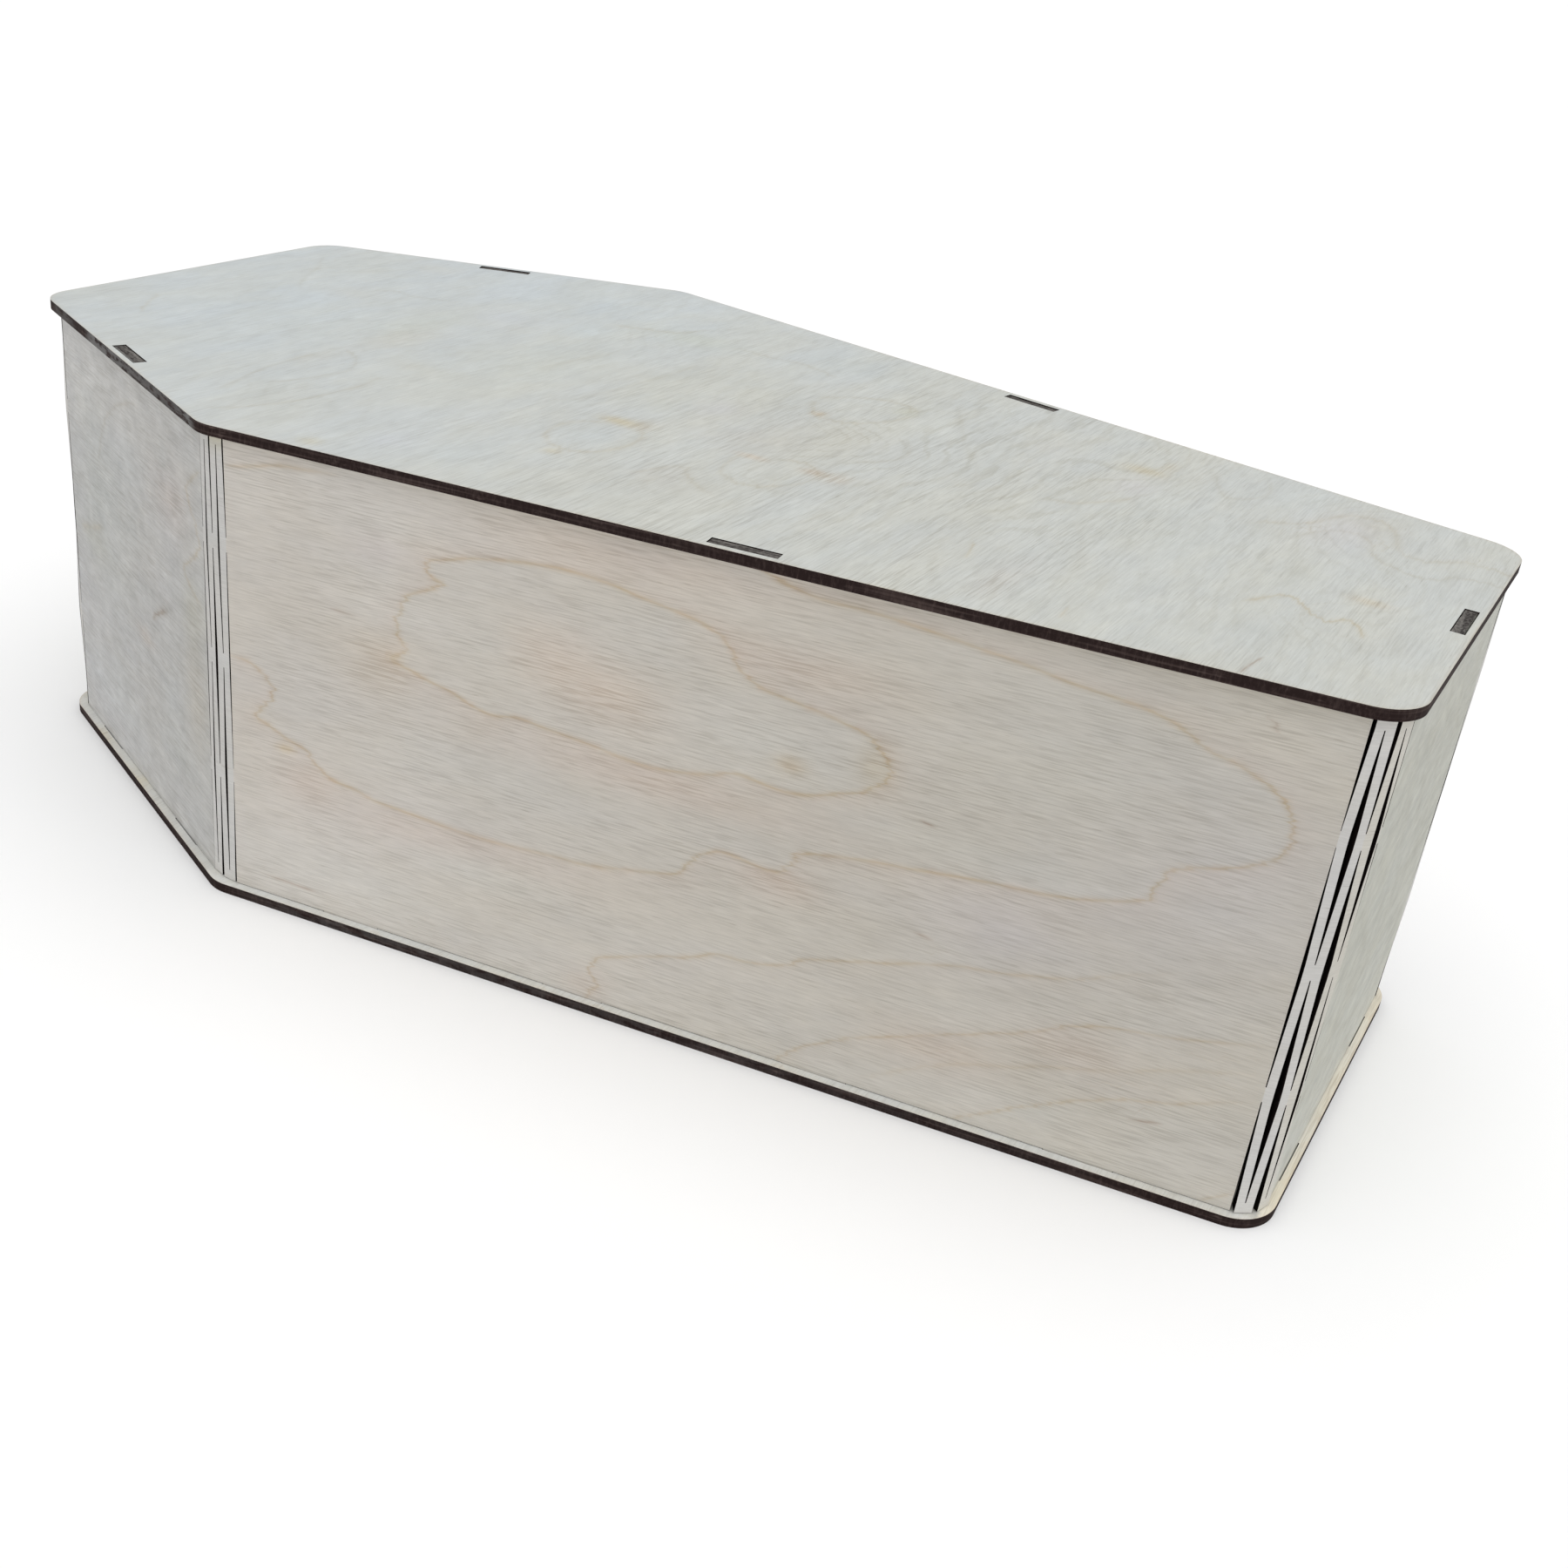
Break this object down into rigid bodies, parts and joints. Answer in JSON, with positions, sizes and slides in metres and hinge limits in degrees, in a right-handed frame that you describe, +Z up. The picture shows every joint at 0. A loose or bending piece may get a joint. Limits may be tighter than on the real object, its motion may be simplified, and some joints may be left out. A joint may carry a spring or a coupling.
{
  "type": "pet coffin",
  "caption": "Closed six-sided plywood coffin for a small pet: slotted flat lid and base joined by one wall strip bent round living-hinge corners; hollow inside.",
  "frame": {"origin": "on the underside of the base, at the middle of the length and the width", "axes": "+X along the length towards the foot end, +Y across, +Z up through the lid"},
  "size_m": [0.58, 0.3156, 0.1954],
  "materials": {
    "lid_plywood": "raw pale birch veneer with charred laser-cut edges",
    "wall_plywood": "raw pinkish-beige birch veneer with charred slits and edges",
    "base_plywood": "raw near-white birch veneer with charred laser-cut edges"
  },
  "bodies": {
    "root": {"lid": "lid_plywood", "side_wall": "wall_plywood", "base": "base_plywood"}
  },
  "joints": []
}
